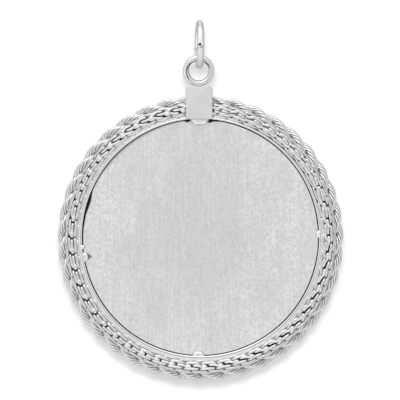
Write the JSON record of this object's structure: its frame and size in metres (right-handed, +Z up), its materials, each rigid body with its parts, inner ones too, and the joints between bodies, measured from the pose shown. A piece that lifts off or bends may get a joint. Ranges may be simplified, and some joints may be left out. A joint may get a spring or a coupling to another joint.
{
  "type": "disc pendant",
  "caption": "Round disc pendant with a double rope border, a flat tab and eyelet on the back, and a jump ring that a chain passes through.",
  "frame": {"origin": "inside top of the jump ring, where a chain bears", "axes": "+Z up as the pendant hangs, -Y out of the back (the side in the picture), +X to the picture's right"},
  "size_m": [0.0328, 0.0063, 0.0413],
  "materials": {
    "disc": "satin silver with a fine upright grain",
    "bezel": "polished silver",
    "rope_inner": "polished silver wire",
    "rope_outer": "polished silver wire",
    "bail_tab": "matte silver",
    "jump_ring": "polished silver"
  },
  "bodies": {
    "jump_ring": {"jump_ring": "jump_ring"},
    "pendant": {"disc": "disc", "bezel": "bezel", "rope_inner": "rope_inner", "rope_outer": "rope_outer", "bail_tab": "bail_tab"}
  },
  "joints": [
    {"name": "swing", "type": "hinge", "parent": "jump_ring", "child": "pendant", "pos_m": [0, 0, -0.00353], "axis": [1, 0, 0], "range_deg": [-90, 90]}
  ]
}
